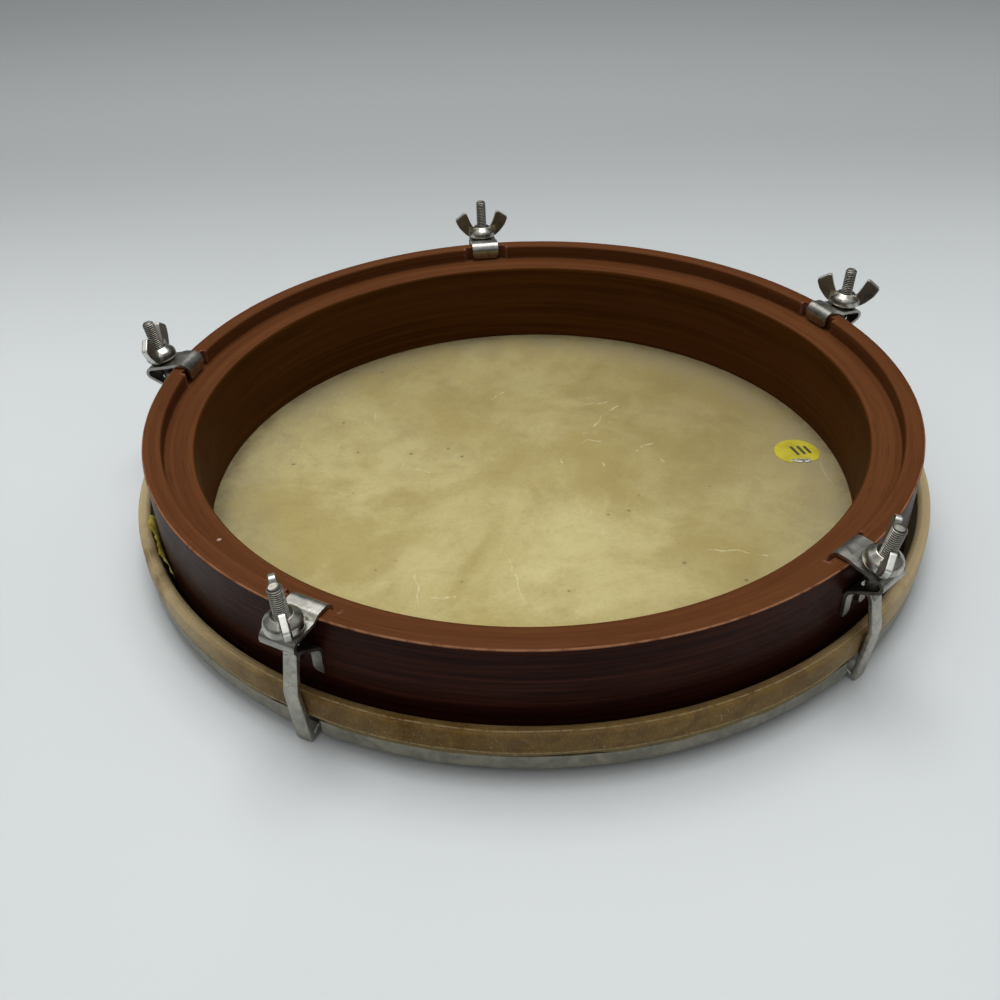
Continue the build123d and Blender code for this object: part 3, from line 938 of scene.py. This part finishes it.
def lap_colour(p, band, blotches, fibres):
    """The lapped band: blotched golden brown, with fine fibres and creases, painted highlights
    along its corner and crease, and painted shade at its fold and front.
    """
    stains = p.noise(17.0, 4.0, 0.6, 0.5)
    lap = p.blend(blotches, 0.34, 0.66, (0.080, 0.034, 0.0020), (0.150, 0.080, 0.010))
    # Painted shade at the front: the pale stains are mostly held back there, where the band faces
    # away from the light
    sides = p.between(p.y, -0.140, -0.09, 0.10, 1.0)
    lap = p.over(lap, (0.520, 0.400, 0.220), p.between(stains, 0.32, 0.54), sides)
    lap = p.over(lap, (0.100, 0.058, 0.018), p.between(fibres, 0.48, 0.72), 0.30)
    lap = p.over(lap, (0.360, 0.270, 0.130), p.between(fibres, 0.50, 0.30), 0.22)
    # Painted shade where the fold turns down towards the shell, olive on the curled lip
    lap = p.over(lap, (0.110, 0.078, 0.040), p.ring(154.6, 153.8), 0.4)
    curled = p.product(p.level(12.4, 11.4), p.ring(155.5, 156.2))
    lap = p.over(lap, (0.175, 0.145, 0.060), curled, 0.55)
    # Painted highlights along the band's top outer corner and its lower crease, broken up by noise
    top_highlight = p.product(p.line_at(p.radius, 155.6), p.level(19.0, 19.5))
    low_highlight = p.product(p.line_at(p.z, 12.2), p.ring(156.0, 156.6))
    broken = p.noise(1.0, 4.0, 0.7, of=p.stretched(420.0, 420.0, 500.0, of=band))
    broken = p.between(broken, 0.30, 0.60)
    lap = p.over(lap, (0.50, 0.39, 0.21), p.math("MAXIMUM", top_highlight, low_highlight), broken, 0.5)
    strands = p.noise(1.0, 1.0, 0.3, 2.6, of=p.stretched(900.0, 900.0, 260.0, of=band))
    return p.over(lap, (0.50, 0.42, 0.26), p.between(strands, 0.73, 0.77), 0.55)


def skin_material():
    p = Paint("natural_hide")
    patches = p.noise(46.0, 6.0, 0.65, 0.5)
    fine = p.noise(620.0, 4.0, 0.65)
    round_it = p.product(p.math("ARCTAN2", p.y, p.x), LAP_R * MM)
    band = p.vector(round_it, p.radius, p.z)
    blotches = p.noise(1.0, 5.0, 0.6, 0.7, of=p.stretched(95.0, 95.0, 130.0, of=band))
    fibres = p.noise(1.0, 4.0, 0.7, 0.8, of=p.stretched(1500.0, 1500.0, 700.0, of=band))
    lapped = p.ring(150.3, 150.9)
    colour = p.mix(lapped, face_colour(p, patches, fine), lap_colour(p, band, blotches, fibres))

    rough = p.between(fine, 0.3, 0.7, 0.45, 0.62)
    shine = p.between(lapped, 0.0, 1.0, 0.3, 0.14)
    ripples = p.bump(p.noise(60.0, 3.0, 0.5), 0.12, 0.0006)
    puckers = p.bump(p.product(blotches, lapped), 0.35, 0.0011, ripples)
    hairy = p.math("ADD", p.product(fine, 0.7), p.product(fibres, lapped))
    relief = p.bump(hairy, 0.3, 0.0002, puckers)
    soft = {"Subsurface_Weight": 0.06, "Subsurface_Scale": 0.0012}
    soft["Subsurface_Radius"] = (1.0, 0.7, 0.35)
    return p.finish(colour, rough, relief, Specular_IOR_Level=shine, **soft)


def metal_material(name, dark, light, rough, grime, lines, dents, pitted=0.6, pit_scale=1150.0):
    """Plated steel, brushed, tarnished, pitted and grimy, with painted shade in a mesh's marked
    groove.
    """
    p = Paint(name)
    tarnish = p.noise(170.0, 5.0, 0.6, 0.5)
    brushing = p.noise(1.0, 3.0, 0.6, of=p.stretched(lines, lines, lines * 0.06))
    fine = p.noise(1900.0, 3.0, 0.6)
    pits = p.product(p.between(p.cells(pit_scale), 0.22, 0.08), p.between(tarnish, 0.46, 0.58))
    colour = p.blend(tarnish, 0.32, 0.68, dark, light)
    dirt = p.between(p.noise(330.0, 5.0, 0.65, 0.8), 0.50, 0.74)
    colour = p.over(colour, (0.055, 0.048, 0.036), dirt, grime)
    colour = p.over(colour, (0.03, 0.027, 0.022), pits, pitted)
    # Painted shade down in the thread's grooves, which are also made rougher
    groove = p.between(p.mark("groove"), 0.15, 0.70)
    colour = p.over(colour, (0.022, 0.019, 0.014), groove, 0.88)
    shine = p.math("ADD", tarnish, p.product(fine, 0.3))
    rough = p.math("ADD", p.between(shine, 0.4, 0.9, *rough), p.product(groove, 0.25))
    # A wing's flat sides are painted dark as shade, and its edges painted bright as a highlight
    sides, edges = p.mark("wing_side_shade"), p.mark("wing_edge_highlight")
    colour = p.over(colour, (0.110, 0.090, 0.070), sides, 0.8)
    rough = p.math("ADD", rough, p.product(sides, 0.20))
    colour = p.over(colour, (0.86, 0.85, 0.80), edges, 0.8)
    rough = p.math("ADD", rough, p.product(edges, 0.12))
    soft = p.bump(p.noise(520.0, 3.0, 0.5), dents, 0.00025)
    marks = p.math("SUBTRACT", p.math("ADD", brushing, fine), pits)
    relief = p.bump(marks, 0.25, 0.00006, soft)
    return p.finish(colour, rough, relief, Metallic=1.0)


def sticker_material():
    """Yellow paper with three plain tally strokes in black pen."""
    p = Paint("sticker_yellow")
    paper = p.noise(900.0, 4.0, 0.6)
    blotch = p.noise(120.0, 3.0, 0.5)
    colour = p.blend(blotch, 0.3, 0.7, (0.400, 0.330, 0.006), (0.520, 0.450, 0.014))
    pen = p.strokes(
        (
            ((115.0, 17.0), (116.8, 11.4), 1.0),
            ((118.0, 17.2), (119.6, 11.8), 1.0),
            ((120.9, 17.0), (122.2, 12.4), 1.0),
        )
    )
    colour = p.over(colour, (0.012, 0.014, 0.010), pen, 0.95)
    rough = p.between(paper, 0.3, 0.7, 0.5, 0.65)
    return p.finish(colour, rough, p.bump(paper, 0.2, 0.0001))


def paper_material():
    p = Paint("torn_paper")
    fibres = p.noise(1.0, 4.0, 0.6, of=p.stretched(900.0, 500.0, 700.0))
    colour = p.blend(fibres, 0.3, 0.7, (0.62, 0.60, 0.55), (0.80, 0.79, 0.75))
    rough = p.between(fibres, 0.3, 0.7, 0.75, 0.9)
    return p.finish(colour, rough, p.bump(fibres, 0.5, 0.0002))


def tape_material():
    p = Paint("yellow_tape")
    creases = p.noise(330.0, 4.0, 0.6, 1.0)
    folds = p.noise(140.0, 3.0, 0.6, 0.6)
    colour = p.blend(folds, 0.38, 0.62, (0.34, 0.25, 0.025), (0.62, 0.52, 0.10))
    # Painted highlights on the creases
    colour = p.over(colour, (0.80, 0.76, 0.45), p.between(creases, 0.52, 0.66), 0.6)
    # Painted shade low down, deep in the gap between the shell and the hide
    colour = p.over(colour, (0.12, 0.09, 0.02), p.level(17.5, 15.0))
    rough = p.between(creases, 0.3, 0.7, 0.25, 0.5)
    return p.finish(colour, rough, p.bump(creases, 0.6, 0.0005))


def hoop_wood_material():
    p = Paint("plain_wood")
    grain = p.grain(14.0, 600.0, 4.0)
    colour = p.blend(grain, 0.3, 0.7, (0.20, 0.125, 0.06), (0.34, 0.23, 0.12))
    rough = p.between(grain, 0.3, 0.7, 0.6, 0.75)
    return p.finish(colour, rough, p.bump(grain, 0.4, 0.0003))


# ---------------- putting it together


def repaint(node, material):
    node.data.materials.clear()
    node.data.materials.append(material)


def build_drum():
    """The pieces that never move."""
    still = Matrix.Identity(4)
    on_skin = Matrix.Translation((*STICKER_PLACE, SKIN_INSIDE_Z))
    wear = {"rough": (0.32, 0.46), "grime": 0.15, "lines": 30.0, "dents": 0.06, "pitted": 0.25}
    hoop_metal = metal_material("hoop_steel", (0.19, 0.18, 0.145), (0.30, 0.28, 0.225), **wear)
    for name, mesh, place, material, node, slot in (
        ("shell_wood", shell_mesh(), still, shell_material(), "shell", "shell_wood"),
        ("hide", skin_mesh(), still, skin_material(), "skin", "hide"),
        ("tension_hoop", counter_hoop_mesh(), still, hoop_metal, "counter_hoop", "hoop_steel"),
        ("sticker_dot", sticker_mesh(), on_skin, sticker_material(), "sticker", "sticker_paper"),
        ("sticker_curl", curl_mesh(), on_skin, paper_material(), "sticker", "sticker_paper"),
        ("tape_strip", edge_tape_mesh(), still, tape_material(), "edge_tape", "edge_tape"),
    ):
        piece(name, mesh, place, material, "drum", node)
    repaint(frame["nodes"]["flesh_hoop"], hoop_wood_material())


def seat_frame(azimuth, seat_r, lean):
    """Turns a shape made round Z at the origin into one on a bracket's seat, along its rod."""
    leaning = Matrix.Rotation(math.radians(lean), 4, "Y")
    return spun_to(azimuth) @ (Matrix.Translation((seat_r, 0, SEAT_Z)) @ leaning)


def build_clamps():
    """A wing nut and a claw for each clamp. The brackets keep their CAD shape, with soft edges."""
    wear = {"rough": (0.28, 0.40), "grime": 0.36, "lines": 900.0, "dents": 0.18}
    bracket_metal = metal_material("bracket_steel", (0.27, 0.26, 0.23), (0.43, 0.42, 0.38), **wear)
    wear = {"rough": (0.34, 0.48), "grime": 0.40, "lines": 700.0, "dents": 0.7}
    wear |= {"pitted": 0.9, "pit_scale": 620.0}
    claw_metal = metal_material("claw_steel", (0.33, 0.315, 0.275), (0.50, 0.48, 0.42), **wear)
    wear = {"rough": (0.22, 0.34), "grime": 0.45, "lines": 500.0, "dents": 0.3}
    nut_metal = metal_material("nut_steel", (0.25, 0.24, 0.21), (0.54, 0.52, 0.46), **wear)
    nut = wing_nut_mesh()
    for number, (azimuth, seat_r, lean) in enumerate(CLAMPS, start=1):
        seat = seat_frame(azimuth, seat_r, lean) @ spun_to(WING_AZIMUTHS[number - 1] - azimuth)
        turning = f"wing_nut_{number}"
        piece(f"nut_{number}", nut.copy(), seat, nut_metal, turning, turning)
        claw = claw_mesh(number, seat_r, lean, ROD_RISES[number - 1])
        sliding = f"claw_{number}"
        piece(f"hook_{number}", claw, spun_to(azimuth), claw_metal, sliding, sliding)
        bracket = frame["nodes"][f"bracket_{number}"]
        repaint(bracket, bracket_metal)
        bevel = bracket.modifiers.new("edges", "BEVEL")
        bevel.width = 0.28 * MM
        bevel.segments = 3
        bevel.limit_method = "ANGLE"
        bevel.angle_limit = math.radians(50)
        bevel.harden_normals = True
        bpy.context.view_layer.update()


def build_floor():
    """A pale sweep of paper: flat under the drum, curving up far behind it, with painted shade
    making it darker towards the back.
    """
    half_width, front, back, bend, height = 10.0, -10.0, 2.4, 0.9, 3.0
    # (y, z) points
    line = [(front, 0.0), (0.0, 0.0)]
    for angle in np.linspace(0, math.pi / 2, 25):
        line.append((back - bend + bend * math.sin(angle), bend * (1 - math.cos(angle))))
    line.append((back, height))
    vertices = [(x, y, z) for y, z in line for x in (-half_width, half_width)]
    faces = [(2 * k, 2 * k + 1, 2 * k + 3, 2 * k + 2) for k in range(len(line) - 1)]
    mesh = bpy.data.meshes.new("floor")
    mesh.from_pydata(vertices, [], faces)
    for face in mesh.polygons:
        face.use_smooth = True
    floor = added("floor", mesh)
    p = Paint("floor_paper")
    cloud = p.noise(3.0, 3.0, 0.5)
    colour = p.blend(cloud, 0.3, 0.7, (0.625, 0.652, 0.657), (0.655, 0.680, 0.685))
    # Painted shade: darker and darker from under the drum towards the back
    colour = p.over(colour, (0.360, 0.376, 0.378), p.between(p.y, 0.00, 0.50))
    colour = p.over(colour, (0.275, 0.284, 0.286), p.between(p.y, 0.45, 1.10))
    mesh.materials.append(p.finish(colour, 0.62, Specular_IOR_Level=0.3))


def build_room():
    """A grey room all round, brighter overhead."""
    p = Paint("room", "worlds", "Generated")
    grey = p.add("ValToRGB", {0: p.z})
    low, high = grey.node.color_ramp.elements
    low.position, low.color = 0.10, (0.075, 0.077, 0.08, 1)
    high.position, high.color = 0.75, (0.66, 0.67, 0.67, 1)
    p.surface("World", p.add("Background", {"Color": grey, "Strength": 0.85}))
    bpy.context.scene.world = p.owner


def build_lights():
    """Soft round lights, from above, a little behind and in front."""
    aim = Vector((0, 0, 0.02))
    for name, place, size, power, colour in (
        ("window", (-0.5, 1.0, 1.7), 1.6, 6.0, (1.0, 0.99, 0.97)),
        ("ceiling", (0.0, 0.35, 1.9), 1.4, 22.5, (0.98, 0.99, 1.0)),
        ("doorway", (-0.35, -0.9, 1.25), 0.6, 1.3, (1.0, 0.99, 0.97)),
    ):
        light = bpy.data.lights.new(name, "AREA")
        light.shape = "DISK"
        light.size = size
        light.energy = power
        light.color = colour
        lamp = added(name, light)
        lamp.location = place
        lamp.rotation_euler = (aim - Vector(place)).to_track_quat("-Z", "Y").to_euler()


def build_camera():
    """The view down on the drum from in front of it, a little rolled."""
    place = (-0.012915, -0.365931, 0.257193)
    pitch, roll = math.radians(35.944), math.radians(-1.841)
    camera = added("camera", bpy.data.cameras.new("camera"))
    camera.data.sensor_width = 36.0
    camera.data.lens = 37.8
    camera.data.clip_start = 0.01
    ahead = Vector((0, math.cos(pitch), -math.sin(pitch)))
    right = Vector((1, 0, 0))
    up = right.cross(ahead)
    level_right = right * math.cos(roll) + up * math.sin(roll)
    level_up = up * math.cos(roll) - right * math.sin(roll)
    turn = Matrix((level_right, level_up, -ahead)).transposed().to_4x4()
    camera.matrix_world = Matrix.Translation(place) @ turn
    bpy.context.scene.camera = camera


build_drum()
build_clamps()
build_floor()
build_room()
build_lights()
build_camera()
bpy.context.scene.view_settings.view_transform = "Standard"
